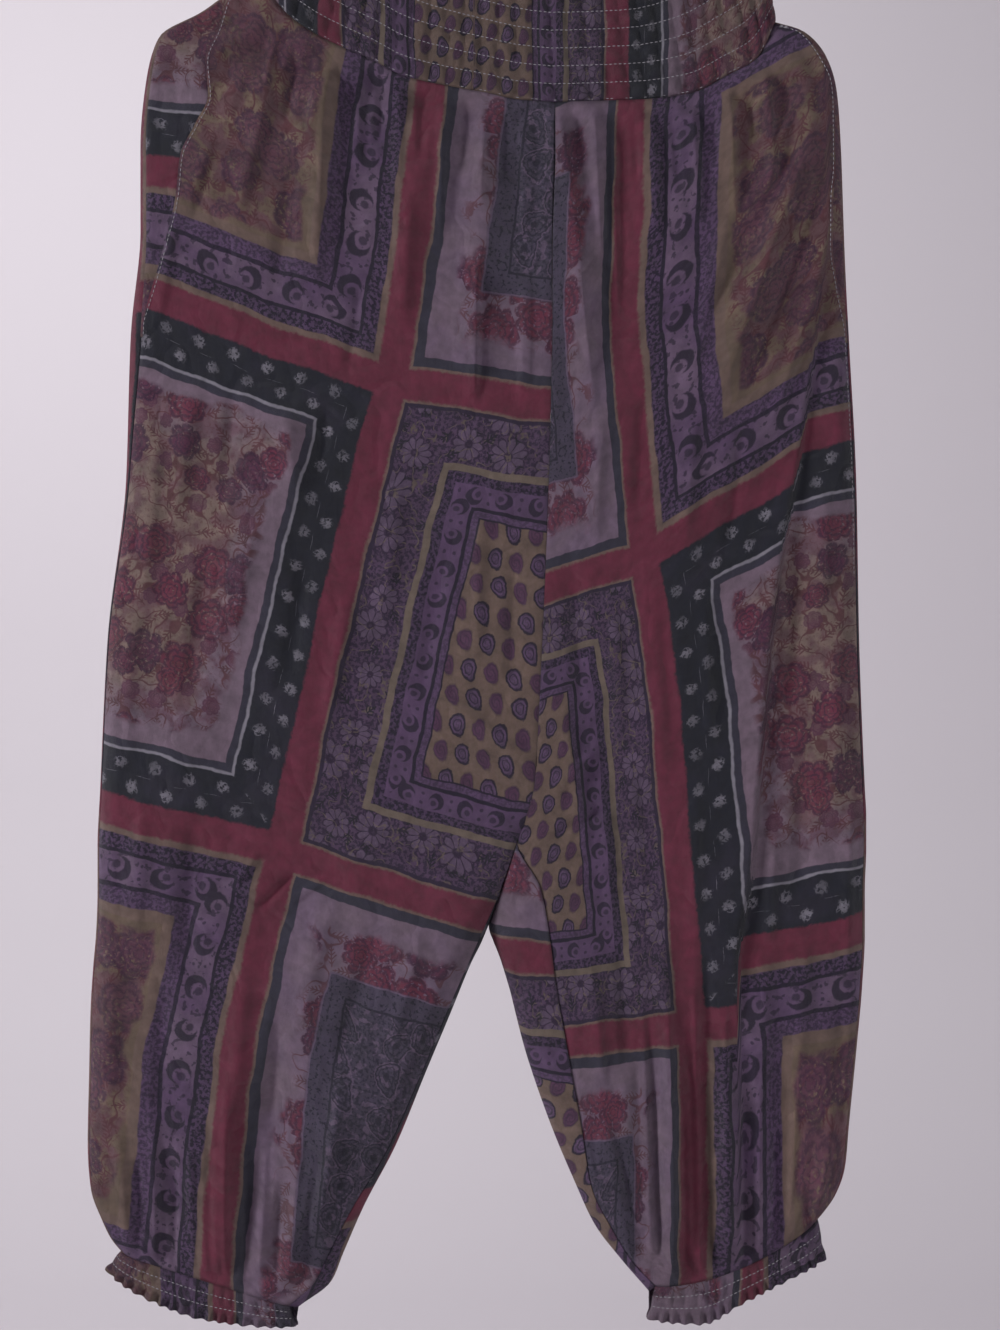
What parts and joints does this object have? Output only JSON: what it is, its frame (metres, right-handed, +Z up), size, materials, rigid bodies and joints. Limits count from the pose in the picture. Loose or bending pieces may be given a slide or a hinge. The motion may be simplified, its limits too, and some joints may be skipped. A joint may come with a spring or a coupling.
{
  "type": "boho trousers",
  "caption": "Loose gathered trousers hanging from a shirred waistband, with slanted pockets, full legs and shirred frilled cuffs.",
  "frame": {"origin": "where the trousers are held, midway between the two held upper corners of the waistband", "axes": "+Z up, +X to the right as seen from the front, the front faces -Y"},
  "size_m": [0.5466, 0.0724, 1.0429],
  "materials": {
    "printed_cloth": "matte printed viscose",
    "shirred_cloth": "matte printed viscose, elastic shirring",
    "thread": "pale sewing thread"
  },
  "bodies": {
    "root": {"left_front": "printed_cloth", "right_front": "printed_cloth", "left_back": "printed_cloth", "right_back": "printed_cloth", "left_pocket_facing": "printed_cloth", "right_pocket_facing": "printed_cloth", "waistband": "shirred_cloth", "left_cuff": "shirred_cloth", "right_cuff": "shirred_cloth"}
  },
  "joints": []
}
